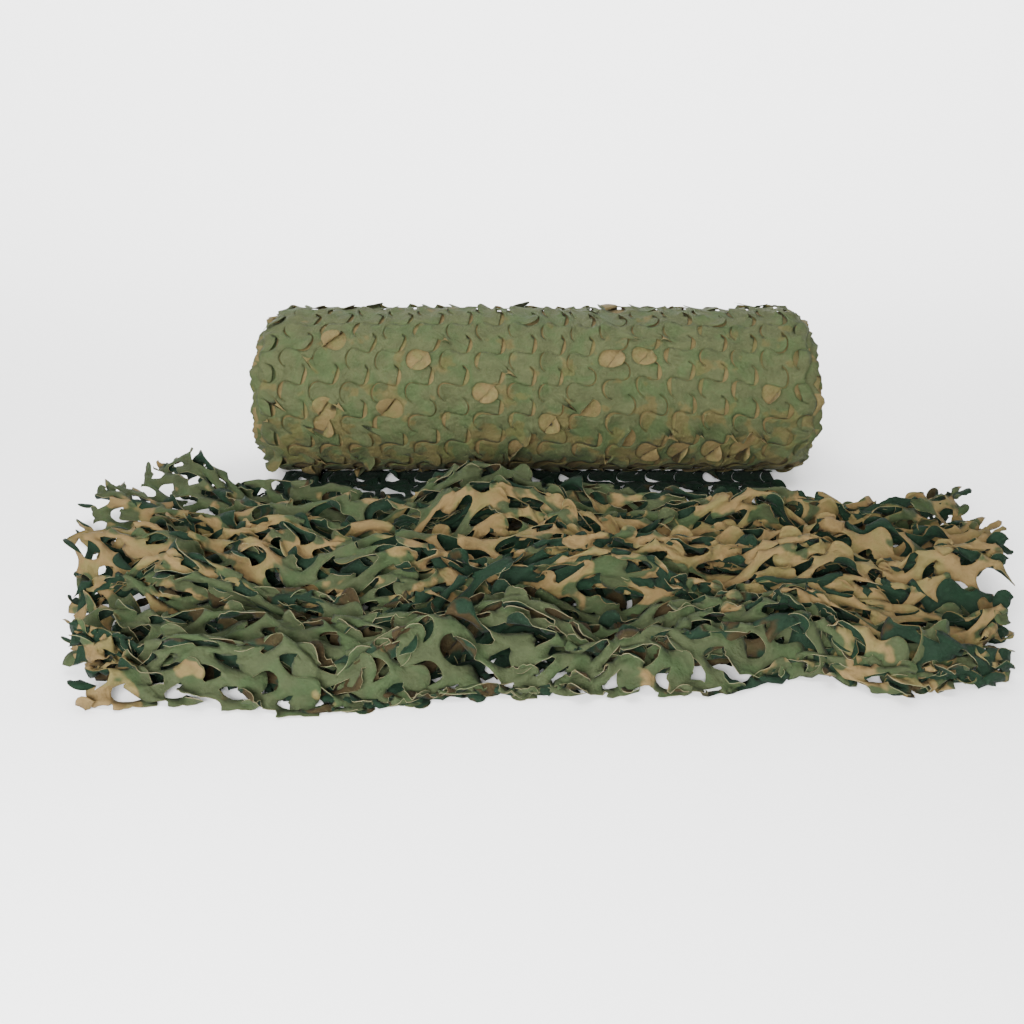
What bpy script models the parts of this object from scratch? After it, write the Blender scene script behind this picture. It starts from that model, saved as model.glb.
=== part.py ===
"""A bulk roll of incised camouflage netting with its free end pulled out over the floor.

Metres, +Z up. The origin is the middle of the flat spot that the roll rests on. The roll's axis
runs along X, and its free end leaves the roll at the bottom and spreads out towards -Y.
"""

import math
import random

import bmesh
import bpy
from mathutils import Vector

# The wound roll
ROLL_LENGTH = 1.45
ROLL_RADIUS = 0.2245
SHOULDER = 0.050  # rounding of the wound cloth at each end of the roll
END_LEAN = 0.018  # the turns have slipped outwards by this low at the front, and inwards behind
REST_HALF_WIDTH = 0.045  # the flat spot under the roll reaches this far each way in Y
TURN_STEP = 0.004  # how far the outermost turn stands over the turn below it
CUT_PITCH = 0.083  # one S-shaped cut to the next along the roll, with the cloth unstretched
CUT_ROWS_AROUND = 16  # rows of cuts in one turn
TONGUE_RELIEF = 0.0035  # how far the cut tongues lift from the wound surface
SAG_RELIEF = 0.003  # slow unevenness of the winding
END_TURN_PITCH = 0.050  # main turns that show at the roll's ends
END_TURN_RELIEF = 0.008
END_SEAM = 0.004  # share of a turn that the step fans out over, on the end faces

# The free end
CLOTH = 0.003
GAP = 0.0003  # between the roll's last turn and the sheet that goes on from it
CELLS_ACROSS = 14
CELLS_ALONG = 20
UNCUT_ROWS = 1  # still closed where the cloth leaves the roll
OPENING_AT_ROLL = 0.45  # share of a full opening, where the cloth is hardly stretched yet
FULL_OPENING_ROW = 7
EDGE_LOBE = 0.014  # the cut edge goes in and out by this
WANDER = 0.034  # the fold lines sway this much from a smooth line
HEM_WANDER = 0.35  # share of that sway which the straight-cut hem keeps
CREST_SWING = 0.27  # share by which a fold's height changes along it
SEED = 2

# Fold lines of the free end, from the roll to the hem. Each runs across the net, through a point
# on its left edge, one in the middle and one on its right edge.
FOLD_COLUMNS = ("x_left", "y_left", "z_left", "y_mid", "z_mid", "x_right", "y_right", "z_right")
FOLD_LINES = (
    # name, then the columns above
    ("leaves the roll", -0.700, None, 0.000, None, 0.000, 0.660, None, 0.000),
    ("floor run", -0.705, -0.170, 0.000, -0.170, 0.000, 0.665, -0.170, 0.000),
    ("foot of the pile", -0.730, -0.290, 0.000, -0.330, 0.000, 0.700, -0.290, 0.000),
    ("first crest", -0.970, -0.350, 0.050, -0.475, 0.095, 0.980, -0.345, 0.055),
    ("first nose", -1.130, -0.515, 0.040, -0.690, 0.080, 1.050, -0.500, 0.045),
    ("first tuck", -1.025, -0.635, 0.000, -0.675, 0.005, 1.020, -0.600, 0.000),
    ("second crest", -1.010, -0.745, 0.070, -0.805, 0.100, 1.000, -0.710, 0.075),
    ("second nose", -0.990, -0.915, 0.045, -0.960, 0.070, 0.950, -0.880, 0.055),
    ("second tuck", -0.955, -0.975, 0.000, -0.950, 0.005, 0.920, -0.920, 0.000),
    ("third crest", -0.905, -1.110, 0.062, -1.060, 0.055, 0.880, -1.020, 0.062),
    ("hem", -0.840, -1.250, 0.000, -1.165, 0.000, 0.840, -1.130, 0.000),
)

# Where the net is pushed out of those lines. Each bulge is centred at a place along the table and
# at a side from -1, the left edge, to 1, and fades over its two reaches.
BULGE_COLUMNS = ("place", "side", "place_reach", "side_reach", "outward", "back", "up")
BULGES = (
    # name, then the columns above
    ("back lobe, left", 3.0, -1.20, 0.8, 0.30, 0.000, 0.250, 0.020),
    ("back lobe, right", 3.0, 1.20, 0.8, 0.30, 0.000, 0.130, 0.020),
    ("crest before the roll", 3.1, -0.10, 0.8, 0.20, 0.000, 0.040, 0.030),
    ("notch in the left edge", 5.0, -1.00, 0.6, 0.12, -0.065, 0.000, 0.000),
    ("lobe at the hem, right", 10.0, 0.78, 0.7, 0.10, 0.000, -0.035, 0.000),
    ("dent in the hem, right", 10.0, 0.56, 0.7, 0.10, 0.000, 0.030, 0.000),
)

# One opening of the net in its cell: p runs across, q along the net, both 0 to 1. The two lobes
# of the S-shaped cut meet at a narrow waist.
OPENING = {
    "waist_upper": (0.47, 0.41),
    "tip_upper": (0.60, 0.10),
    "lobe_right": (0.79, 0.36),
    "waist_lower": (0.53, 0.59),
    "tip_lower": (0.40, 0.90),
    "lobe_left": (0.21, 0.64),
}
OPENING_JITTER = 0.030


def clear_scene():
    for obj in list(bpy.data.objects):
        bpy.data.objects.remove(obj, do_unlink=True)


def cloth_material(name, colour):
    material = bpy.data.materials.new(name)
    material.use_nodes = True
    shader = material.node_tree.nodes["Principled BSDF"]
    shader.inputs["Base Color"].default_value = (*colour, 1.0)
    shader.inputs["Roughness"].default_value = 0.85
    shader.inputs["Metallic"].default_value = 0.0
    return material


def add_object(name, mesh_data, material):
    mesh = bpy.data.meshes.new(name)
    mesh_data.to_mesh(mesh)
    mesh_data.free()
    mesh.materials.append(material)
    mesh.shade_smooth()
    obj = bpy.data.objects.new(name, mesh)
    bpy.context.scene.collection.objects.link(obj)
    return obj


def smoothstep(low, high, value):
    share = min(1.0, max(0.0, (value - low) / (high - low)))
    return share * share * (3.0 - 2.0 * share)


# ---------------------------------------------------------------- the roll

AROUND = 3 * CUT_ROWS_AROUND  # three points to each row of cuts
STEP_ANGLE = -math.asin(REST_HALF_WIDTH / ROLL_RADIUS)
AXIS_HEIGHT = math.sqrt(ROLL_RADIUS**2 - REST_HALF_WIDTH**2)


def wound_radius(share_of_turn):
    """The outermost turn's radius: it shrinks by one step in a turn, back to where the net leaves."""
    return ROLL_RADIUS - TURN_STEP * share_of_turn


def roll_profile():
    """(x, share of the radius, kind) of each ring, from the left end's centre to the right's."""
    half = ROLL_LENGTH / 2
    face = (ROLL_RADIUS - SHOULDER) / ROLL_RADIUS
    ring_step = END_TURN_PITCH / 3 / ROLL_RADIUS
    face_rings = int((face - 0.06) / ring_step)
    left = [(-half, face - ring_step * k, "face") for k in reversed(range(face_rings + 1))]
    for degrees in (30, 60):
        turn = math.radians(degrees)
        x = -half + SHOULDER * (1 - math.cos(turn))
        left.append((x, face + (1 - face) * math.sin(turn), "shoulder"))
    stations = 2 * round((ROLL_LENGTH - 2 * SHOULDER) / CUT_PITCH)
    pitch = (ROLL_LENGTH - 2 * SHOULDER) / stations
    barrel = [(-half + SHOULDER + pitch * k, 1.0, "barrel") for k in range(stations + 1)]
    right = [(-x, share, kind) for x, share, kind in reversed(left)]
    return left + barrel + right


def roll_point(x, share, kind, station, step_index):
    """A point of one ring. Angles start straight down and go up the back of the roll first."""
    turned = step_index / AROUND
    angle = STEP_ANGLE + math.tau * turned * (1 - (END_SEAM if kind == "face" else 0))
    radius = wound_radius(turned) * share
    x += END_LEAN * math.sin(-angle + math.radians(20)) * share * x / (ROLL_LENGTH / 2)
    clear_of_floor = smoothstep(math.radians(20), math.radians(50), math.acos(math.cos(angle)))
    if kind == "face":
        turns = ROLL_RADIUS * share / END_TURN_PITCH
        ripple = math.cos(math.tau * turns - math.copysign(1, x) * angle)
        x -= math.copysign(1, x) * END_TURN_RELIEF * (0.5 - 0.5 * ripple)
    else:
        slow = math.sin(3 * angle + 4.1 * x) + math.sin(2 * angle - 7.3 * x)
        radius += SAG_RELIEF * slow * clear_of_floor / 2
    if kind == "barrel":
        tongue = math.cos(math.pi * station) * math.cos(math.tau * step_index / 3 + 0.6)
        radius += TONGUE_RELIEF * tongue * clear_of_floor
    height = AXIS_HEIGHT - radius * math.cos(angle)
    return Vector((x, radius * math.sin(angle), max(0.0, height)))


def make_roll(material):
    mesh = bmesh.new()
    profile = roll_profile()
    rings = []
    for station, (x, share, kind) in enumerate(profile):
        rings.append(
            [mesh.verts.new(roll_point(x, share, kind, station, k)) for k in range(AROUND + 1)]
        )
    for ring, following in zip(rings, rings[1:]):
        for k in range(AROUND + 1):
            after = (k + 1) % (AROUND + 1)
            mesh.faces.new((ring[k], ring[after], following[after], following[k]))
    for ring, side in ((rings[0], -1), (rings[-1], 1)):
        middle = mesh.verts.new((side * ROLL_LENGTH / 2, 0.0, AXIS_HEIGHT))
        for k in range(AROUND + 1):
            after = (k + 1) % (AROUND + 1)
            corners = (ring[after], ring[k], middle) if side < 0 else (ring[k], ring[after], middle)
            mesh.faces.new(corners)
    bmesh.ops.recalc_face_normals(mesh, faces=mesh.faces)
    return add_object("roll", mesh, material)


# ---------------------------------------------------------------- the free end


def fold_table():
    """The fold lines as dicts, the first one set against the end of the roll's last turn."""
    start_y = -REST_HALF_WIDTH - GAP
    rows = []
    for _, *values in FOLD_LINES:
        row = dict(zip(FOLD_COLUMNS, values))
        rows.append({key: start_y if value is None else value for key, value in row.items()})
    return rows


ROWS = fold_table()


def along(column, place):
    """A column of the fold table at a place between lines, on a Catmull-Rom curve."""
    last = len(ROWS) - 1
    k = min(int(place), last - 1)
    t = place - k
    p1, p2 = ROWS[k][column], ROWS[k + 1][column]
    p0 = ROWS[k - 1][column] if k > 0 else p1
    p3 = ROWS[k + 2][column] if k + 2 <= last else p2
    return 0.5 * (
        2 * p1
        + (p2 - p0) * t
        + (2 * p0 - 5 * p1 + 4 * p2 - p3) * t * t
        + (3 * p1 - p0 - 3 * p2 + p3) * t**3
    )


def across(left, middle, right, side):
    """The parabola through a fold line's three points. side is -1 at the left and 1 at the right."""
    return middle + (right - left) / 2 * side + ((left + right) / 2 - middle) * side * side


def bulge_at(place, side):
    """How far the bulges move the net outwards, back and up at this place and side."""
    outward, back, up = 0.0, 0.0, 0.0
    for _, *values in BULGES:
        bulge = dict(zip(BULGE_COLUMNS, values))
        far_along = (place - bulge["place"]) / bulge["place_reach"]
        far_across = (side - bulge["side"]) / bulge["side_reach"]
        weight = math.exp(-far_along * far_along - far_across * far_across)
        outward += weight * bulge["outward"]
        back += weight * bulge["back"]
        up += weight * bulge["up"]
    return outward, back, up


def free_end_point(place, side):
    """The underside of the net at a place along the fold table and a side across it."""
    left, right = along("x_left", place), along("x_right", place)
    x = left + (right - left) * (side + 1) / 2
    y = across(along("y_left", place), along("y_mid", place), along("y_right", place), side)
    z = across(along("z_left", place), along("z_mid", place), along("z_right", place), side)
    outward, back, up = bulge_at(place, side)
    loose = smoothstep(1.0, 3.0, place)
    sway = WANDER * loose * (1 - (1 - HEM_WANDER) * smoothstep(8.5, 10.0, place))
    x += outward if side > 0 else -outward
    x += WANDER * loose * 0.5 * math.sin(2.1 * place + 1.0) * (1 - side * side)
    y += back + sway * (math.sin(4.6 * side + 0.5) + 0.6 * math.sin(9.5 * side + 2.0))
    swing = math.sin(7.5 * side + 1.1 * place) + math.sin(13.0 * side - place)
    swing += math.sin(20.0 * side + 2.3 * place)
    z = (z + up) * (1 + CREST_SWING * swing / 2)
    return Vector((x, y, max(0.0, z)))


def even_places(count):
    """Places along the fold table that are equally far apart on the net's middle line."""
    samples = 60 * (len(ROWS) - 1)
    places = [(len(ROWS) - 1) * k / samples for k in range(samples + 1)]
    points = [free_end_point(place, 0.0) for place in places]
    run = [0.0]
    for a, b in zip(points, points[1:]):
        run.append(run[-1] + (b - a).length)
    found, k = [], 0
    for step in range(count + 1):
        wanted = run[-1] * step / count
        while k < samples - 1 and run[k + 1] < wanted:
            k += 1
        share = (wanted - run[k]) / (run[k + 1] - run[k])
        found.append(places[k] + share * (places[k + 1] - places[k]))
    return found


def opening_points(row, rng):
    """The opening's outline in its cell: smaller near the roll, and no two quite alike."""
    share = OPENING_AT_ROLL + (1 - OPENING_AT_ROLL) * smoothstep(0, FULL_OPENING_ROW, row)
    outline = {}
    for name, (p, q) in OPENING.items():
        p = 0.5 + (p - 0.5) * share + rng.uniform(-OPENING_JITTER, OPENING_JITTER)
        q = q + rng.uniform(-OPENING_JITTER, OPENING_JITTER)
        outline[name] = (p, q)
    return outline


def lobed_edge(side, half_row):
    """The net's side edges go out halfway along each cell and in between cells."""
    if abs(side) < 1.0:
        return side
    half_width = 1.0  # metres, near enough for a lobe this small
    return side + math.copysign(EDGE_LOBE / half_width, side) * (1 if half_row % 2 else -1)


def down_edge(edge, q):
    """A point at q, from 0 to 1, down the three corners of a cell's left or right edge."""
    if q < 0.5:
        return edge[0].co.lerp(edge[1].co, 2 * q)
    return edge[1].co.lerp(edge[2].co, 2 * q - 1)


def make_free_end(material):
    rng = random.Random(SEED)
    mesh = bmesh.new()
    places = even_places(2 * CELLS_ALONG)
    grid = {}
    for column in range(CELLS_ACROSS + 1):
        for half_row in range(2 * CELLS_ALONG + 1):
            side = lobed_edge(2 * column / CELLS_ACROSS - 1, half_row)
            grid[column, half_row] = mesh.verts.new(free_end_point(places[half_row], side))
    for column in range(CELLS_ACROSS):
        for row in range(CELLS_ALONG):
            ring = [
                grid[column, 2 * row],
                grid[column + 1, 2 * row],
                grid[column + 1, 2 * row + 1],
                grid[column + 1, 2 * row + 2],
                grid[column, 2 * row + 2],
                grid[column, 2 * row + 1],
            ]
            if row < UNCUT_ROWS:
                mesh.faces.new((ring[0], ring[5], ring[2], ring[1]))
                mesh.faces.new((ring[5], ring[4], ring[3], ring[2]))
                continue
            left, right = (ring[0], ring[5], ring[4]), (ring[1], ring[2], ring[3])
            rim = []
            for p, q in opening_points(row, rng).values():
                rim.append(mesh.verts.new(down_edge(left, q).lerp(down_edge(right, q), p)))
            for k in range(len(ring)):
                after = (k + 1) % len(ring)
                mesh.faces.new((ring[k], rim[k], rim[after], ring[after]))
    mesh.normal_update()
    for point in mesh.verts:
        point.co.z = max(point.co.z, -CLOTH * point.normal.z)  # upside down, it lies on its top
    obj = add_object("free_end", mesh, material)
    thickness = obj.modifiers.new("cloth thickness", "SOLIDIFY")
    thickness.thickness = CLOTH
    thickness.offset = 1.0
    thickness.use_even_offset = False
    return obj


def main():
    clear_scene()
    make_roll(cloth_material("olive_cloth", (0.105, 0.125, 0.052)))
    make_free_end(cloth_material("brown_cloth", (0.225, 0.150, 0.070)))


main()
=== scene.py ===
"""The looks of a bulk roll of camouflage netting with its free end pulled out over the floor.

The netting is one web of printed cloth with rows of S-shaped cuts. Here it is laid out flat in
cells, one cut to a cell, and then bent: round the roll, and over the folds of the free end. Every
cut frees two rounded tongues, which curl out of the cloth.

Cloth coordinates: u runs across the web in cells, v along it in cells, towards the free end's hem.
"""

import math

import bmesh
import bpy
import numpy as np
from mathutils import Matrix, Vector
from mathutils.geometry import delaunay_2d_cdt


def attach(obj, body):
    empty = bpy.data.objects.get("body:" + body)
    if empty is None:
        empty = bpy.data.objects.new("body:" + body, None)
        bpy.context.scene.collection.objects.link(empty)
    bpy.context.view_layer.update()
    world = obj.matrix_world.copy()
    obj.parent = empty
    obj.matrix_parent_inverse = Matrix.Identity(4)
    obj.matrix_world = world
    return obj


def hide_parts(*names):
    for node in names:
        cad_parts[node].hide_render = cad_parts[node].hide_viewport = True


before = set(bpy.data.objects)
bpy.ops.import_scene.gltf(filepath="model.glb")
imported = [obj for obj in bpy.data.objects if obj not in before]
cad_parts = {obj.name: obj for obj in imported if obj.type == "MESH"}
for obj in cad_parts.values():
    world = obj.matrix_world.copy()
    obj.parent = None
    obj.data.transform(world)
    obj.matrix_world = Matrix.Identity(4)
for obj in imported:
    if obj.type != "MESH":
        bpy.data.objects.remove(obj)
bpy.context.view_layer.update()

# ---------------------------------------------------------------- sizes, in metres

CELL_ACROSS = 0.0815  # one cut to the next across the closed web
CELL_ALONG = 0.0900  # and along it
COLUMNS = 18
CLOTH_THICKNESS = 0.0009
LOOSE_SPACING = 0.0112  # of the cloth's mesh, with the web closed
ROLLED_SPACING = 0.0090

ROLL_HALF = 0.735
ROLL_RADIUS = 0.2250
ROLL_ROWS = 16  # rows of cuts in the outermost turn
SHOULDER = 0.050
REST_HALF_WIDTH = 0.045
TURN_STEP = 0.004
END_LEAN = 0.018

# ---------------------------------------------------------------- one cell of the cut web

# Half of the S-shaped cut, from its centre to one tip, in cells. The other half is its mirror
# image through the centre.
CUT_HALF = (
    (0.16, -0.040),
    (0.30, -0.025),
    (0.405, 0.080),
    (0.440, 0.270),
    (0.375, 0.460),
    (0.200, 0.600),
)
CUT_POINTS = 23
CUT_WIDTH = 0.016  # of the closed cut at its centre, in cells
TONGUE_ROOT = ((-0.27, 0.05), (0.20, 0.60))  # the line that one tongue bends about
CAP_WIDTH = 0.0100  # of the crescent at a tongue's edge that is tucked under on the roll
CAP_WAY = (0.99, -0.141)  # the way that this crescent faces
CAP_BEND = (0.0, 0.0035)  # it bends over this length, and lies flat beyond it
HEM_CUT = 0.30  # the hem passes the cuts here, so that it ends in lobes
CELL_EDGE_WAVE = 0.22  # the cell's upper and lower edges pass between neighbouring cuts
BORDER_POINTS = 11  # along each edge of the cell
METRES = np.array((CELL_ACROSS, CELL_ALONG))  # the size of a cell
ROW_STEP = 0.866  # rows of mesh points lie this far apart, in the points' own spacing
JITTER = 0.08  # of the mesh points, so that they don't show as a grid
CLEAR_OF_EDGES = 0.62  # the points inside keep this far from the outlines, in their own spacing
CLEAR_OF_TRIMS = 0.55  # and this far from the lines that the web is cut off at
CLEAR_OF_CUT = 0.05  # those lines keep this far from the cut, in cells
CAP_CLEAR_OF_CUT = 0.022  # and so do the rows of points in the crescents
CAP_ROWS = (0.0, 0.0018, 0.0038, 0.0065)  # how far these rows lie beyond the crescent's start
OPENING_REACH = 0.16  # how far from a cut its opening moves the cloth, in cells


def spline(p0, p1, p2, p3, t):
    """A smooth curve from p1 to p2, with its neighbours p0 and p3."""
    quadratic = (2 * p0 - 5 * p1 + 4 * p2 - p3) * t * t
    cubic = (3 * p1 - p0 - 3 * p2 + p3) * t**3
    return 0.5 * (2 * p1 + (p2 - p0) * t + quadratic + cubic)


def curve_through(points, count):
    """Evenly spaced points on a smooth curve through the given ones."""
    pts = np.array([points[0], *points, points[-1]], float)
    t = np.linspace(0, 1, 40, endpoint=False)[:, None]
    dense = [spline(*pts[k - 1 : k + 3], t) for k in range(1, len(pts) - 2)]
    dense = np.vstack([*dense, pts[-2]])
    run = np.concatenate([[0], np.cumsum(np.linalg.norm(np.diff(dense, axis=0), axis=1))])
    wanted = np.linspace(0, run[-1], count)
    return np.stack([np.interp(wanted, run, dense[:, a]) for a in (0, 1)], axis=1)


def cut_line():
    half = [(-p, -q) for p, q in reversed(CUT_HALF)] + list(CUT_HALF)
    return curve_through(half, CUT_POINTS)


def inside(points, polygon):
    """Which of the points lie inside the polygon."""
    x, y = points[:, 0], points[:, 1]
    found = np.zeros(len(points), bool)
    for a, b in zip(polygon, np.roll(polygon, -1, axis=0)):
        crosses = (a[1] > y) != (b[1] > y)
        with np.errstate(divide="ignore", invalid="ignore"):
            at = (b[0] - a[0]) * (y - a[1]) / (b[1] - a[1]) + a[0]
        found ^= crosses & (x < at)
    return found


def nearest_on(line, points):
    """Distance, share along the line and side of the nearest point of a polyline."""
    best = np.full(len(points), 1e9)
    share = np.zeros(len(points))
    side = np.ones(len(points))
    for k, (a, b) in enumerate(zip(line, line[1:])):
        run = b - a
        t = np.clip((points - a) @ run / (run @ run), 0, 1)
        away = points - (a + t[:, None] * run)
        distance = np.linalg.norm(away * (1, CELL_ALONG / CELL_ACROSS), axis=1)
        closer = distance < best
        best[closer] = distance[closer]
        share[closer] = (k + t[closer]) / (len(line) - 1)
        turn = run[0] * away[:, 1] - run[1] * away[:, 0]
        side[closer] = np.where(turn[closer] > 0, -1, 1)
    return best, share, side


def opening_profile(share):
    """A cut opens widest in the middle of each of its two lobes and is closed at its tips."""
    return np.sqrt(np.clip(1 - (2 * share - 1) ** 2, 0, 1))


def cell_border():
    """The cell's outline: straight at its sides, and waved where rows of cuts interlock."""
    u = np.linspace(-0.5, 0.5, BORDER_POINTS)
    lower = np.stack([u, -0.5 + CELL_EDGE_WAVE * np.sin(math.tau * u)], axis=1)
    v = u[1:-1]
    right = np.stack([np.full(len(v), 0.5), v], axis=1)
    left = np.stack([np.full(len(v), -0.5), v[::-1]], axis=1)
    return np.vstack([lower, right, (lower + (0, 1))[::-1], left])


def cap_distance(points, line):
    """How far points reach beyond the straight line that a tongue's edge is tucked under at."""
    farthest = (line * METRES @ CAP_WAY).max()
    _, share, side = nearest_on(line, points)
    distance = points * METRES @ CAP_WAY - (farthest - CAP_WIDTH)
    return np.where((side < 0) & (share > 0.5), np.maximum(distance, 0), 0.0)


def cap_rows(line):
    """Rows of mesh points across a tongue's crescent, so that it can bend sharply."""
    outermost = line[np.argmax(line * METRES @ CAP_WAY)] * METRES
    rows = []
    for inward in (CAP_WIDTH - beyond for beyond in CAP_ROWS):
        for along in np.arange(-0.026, 0.027, 0.004):
            x = outermost[0] - CAP_WAY[0] * inward - CAP_WAY[1] * along
            y = outermost[1] - CAP_WAY[1] * inward + CAP_WAY[0] * along
            rows.append((x / CELL_ACROSS, y / CELL_ALONG))
    rows = np.array(rows)
    gap, share, side = nearest_on(line, rows)
    return rows[(side < 0) & (share > 0.5) & (gap > CAP_CLEAR_OF_CUT)]


def make_cell(spacing, with_caps):
    """The flat mesh of one cell, with what each of its points does when the web is bent."""
    line = cut_line()
    tangent = np.gradient(line, axis=0)
    normal = np.stack([tangent[:, 1], -tangent[:, 0]], axis=1)
    normal /= np.linalg.norm(normal, axis=1)[:, None]
    width = CUT_WIDTH * opening_profile(np.linspace(0, 1, len(line)))[:, None] / 2
    one_side, other_side = line + normal * width, line - normal * width
    rim = np.vstack([line[:1], one_side[1:-1], line[-1:], other_side[-2:0:-1]])
    border = cell_border()

    step_u, step_v = spacing / CELL_ACROSS, spacing * ROW_STEP / CELL_ALONG
    rng = np.random.default_rng(4)
    inner = []
    for row, v in enumerate(np.arange(-0.8, 0.8, step_v)):
        for u in np.arange(-0.5 + step_u * (0.5 if row % 2 else 1.0), 0.5, step_u):
            inner.append((u, v))
    inner = np.array(inner) + rng.uniform(-JITTER, JITTER, (len(inner), 2)) * (step_u, step_v)
    edge_points = np.vstack([border, rim])
    caps = np.zeros((0, 2))
    if with_caps:
        caps = cap_rows(line)
        caps = np.vstack([caps, -caps])
        edge_points = np.vstack([edge_points, caps])
    keep = inside(inner, border) & ~inside(inner, rim)
    reach = np.linalg.norm((inner[:, None] - edge_points[None]) * METRES, axis=2).min(axis=1)
    inner = inner[keep & (reach > CLEAR_OF_EDGES * spacing)]

    # Along the lines that the web's sides and hem are cut off at
    span = np.linspace(-0.5, 0.5, BORDER_POINTS)
    side_cut = np.stack([np.zeros(BORDER_POINTS), span], axis=1)
    hem_cut = np.stack([span, np.full(BORDER_POINTS, HEM_CUT)], axis=1)
    trims = np.vstack([side_cut, hem_cut])
    trims = trims[nearest_on(line, trims)[0] > CLEAR_OF_CUT]
    near = np.linalg.norm((inner[:, None] - trims[None]) * METRES, axis=2)
    inner = inner[near.min(axis=1) > CLEAR_OF_TRIMS * spacing]

    points = np.vstack([border, rim, trims, caps, inner])
    loops = []
    for start, count in ((0, len(border)), (len(border), len(rim))):
        loops += [(start + k, start + (k + 1) % count) for k in range(count)]
    verts, _, faces, _, _, _ = delaunay_2d_cdt([Vector(p) for p in points], loops, [], 0, 1e-6)
    verts = np.array([tuple(v) for v in verts])
    middles = np.array([verts[list(f)].mean(axis=0) for f in faces])
    wanted = inside(middles, border) & ~inside(middles, rim)
    faces = [tuple(f) for f, want in zip(faces, wanted) if want]

    opening = np.zeros(len(verts))
    for across in (-1, 0, 1):
        for along in (-1, 0, 1):
            distance, share, side = nearest_on(line + (across, along), verts)
            fade = np.exp(-((distance / OPENING_REACH) ** 2))
            opening += side * opening_profile(share) * fade / 2

    mesh = bpy.data.meshes.new("cut_cell")
    mesh.from_pydata([(u, v, 0) for u, v in verts], [], faces)
    add_attribute(mesh, "opening", opening)
    for name, sign in (("tongue_a", 1), ("tongue_b", -1)):
        add_attribute(mesh, name, tongue_distance(sign * verts, line))
        add_attribute(mesh, name.replace("tongue", "cap"), cap_distance(sign * verts, line))
    return add_object("cut_cell", mesh)


def tongue_way():
    """The way that a tongue points, square to its root."""
    start, end = np.array(TONGUE_ROOT) * METRES
    root = (end - start) / np.linalg.norm(end - start)
    return np.array((root[1], -root[0]))


def tongue_distance(points, line):
    """How far each point of a tongue is from the tongue's root, in metres, and 0 elsewhere."""
    share_at_start = nearest_on(line, np.array([TONGUE_ROOT[0]]))[1][0]
    first = int(share_at_start * (len(line) - 1))
    # The tongue lies on the side of the cut's line that its root is on.
    polygon = np.vstack([TONGUE_ROOT[0], line[first:], TONGUE_ROOT[1]])
    gap, _, side = nearest_on(line, points)
    distance = (points * METRES - TONGUE_ROOT[0] * METRES) @ tongue_way()
    close = inside(points, polygon) | (gap < CUT_WIDTH)
    return np.where(close & (side < 0), np.maximum(distance, 0), 0.0)


def add_object(name, data):
    obj = bpy.data.objects.new(name, data)
    bpy.context.scene.collection.objects.link(obj)
    return obj


def read_all(items, name, each=1, kind=np.float32):
    """One property of all the items, as an array."""
    values = np.empty(each * len(items), kind)
    items.foreach_get(name, values)
    return values


def add_cloth_coordinates(mesh, cloth):
    """Keeps the points' cloth coordinates, in metres, as a UV map."""
    corners = read_all(mesh.loops, "vertex_index", kind=np.int32)
    layer = mesh.uv_layers.new(name="cloth")
    layer.data.foreach_set("uv", np.ascontiguousarray(cloth[corners], np.float32).ravel())


def add_attribute(mesh, name, values):
    attribute = mesh.attributes.new(name, "FLOAT", "POINT")
    attribute.data.foreach_set("value", np.ascontiguousarray(values, np.float32))


def take_attribute(mesh, name):
    """Reads an attribute, and removes it from the mesh."""
    values = read_all(mesh.attributes[name].data, "value").astype(float)
    mesh.attributes.remove(mesh.attributes[name])
    return values


def delete_faces(mesh, unwanted):
    edited = bmesh.new()
    edited.from_mesh(mesh)
    bmesh.ops.delete(edited, geom=[f for f in edited.faces if unwanted(f)], context="FACES")
    edited.to_mesh(mesh)
    edited.free()


def ring_faces(rings, around, first=0):
    """The faces between neighbouring rings of points."""
    faces = []
    for ring in range(rings - 1):
        for k in range(around):
            a, b = (first + ring * around + n for n in (k, (k + 1) % around))
            faces.append((a, b, b + around, a + around))
    return faces


# ---------------------------------------------------------------- the web, cell by cell

WELD = 0.002  # cells; neighbouring cells share the points of their edges


def add_tree(kind, name, given, made):
    """A node group, and its input and output sockets. given and made say their kinds by name."""
    tree = bpy.data.node_groups.new(name, kind)
    for way, sockets in (("INPUT", given), ("OUTPUT", made)):
        for label, socket in sockets.items():
            tree.interface.new_socket(label, in_out=way, socket_type="NodeSocket" + socket)
    return tree, tree.nodes.new("NodeGroupInput").outputs, tree.nodes.new("NodeGroupOutput").inputs


def add_node(tree, kind, inputs, **settings):
    """A new node. Each of its inputs is given a value, or is linked to another node's output."""
    node = tree.nodes.new(kind)
    for name, value in settings.items():
        setattr(node, name, value)
    for socket, value in inputs.items():
        if isinstance(value, bpy.types.NodeSocket):
            tree.links.new(value, node.inputs[socket])
        else:
            node.inputs[socket].default_value = value
    return node


def math_node(tree, operation, *values):
    values = dict(enumerate(values))
    return add_node(tree, "ShaderNodeMath", values, operation=operation).outputs[0]


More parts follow.
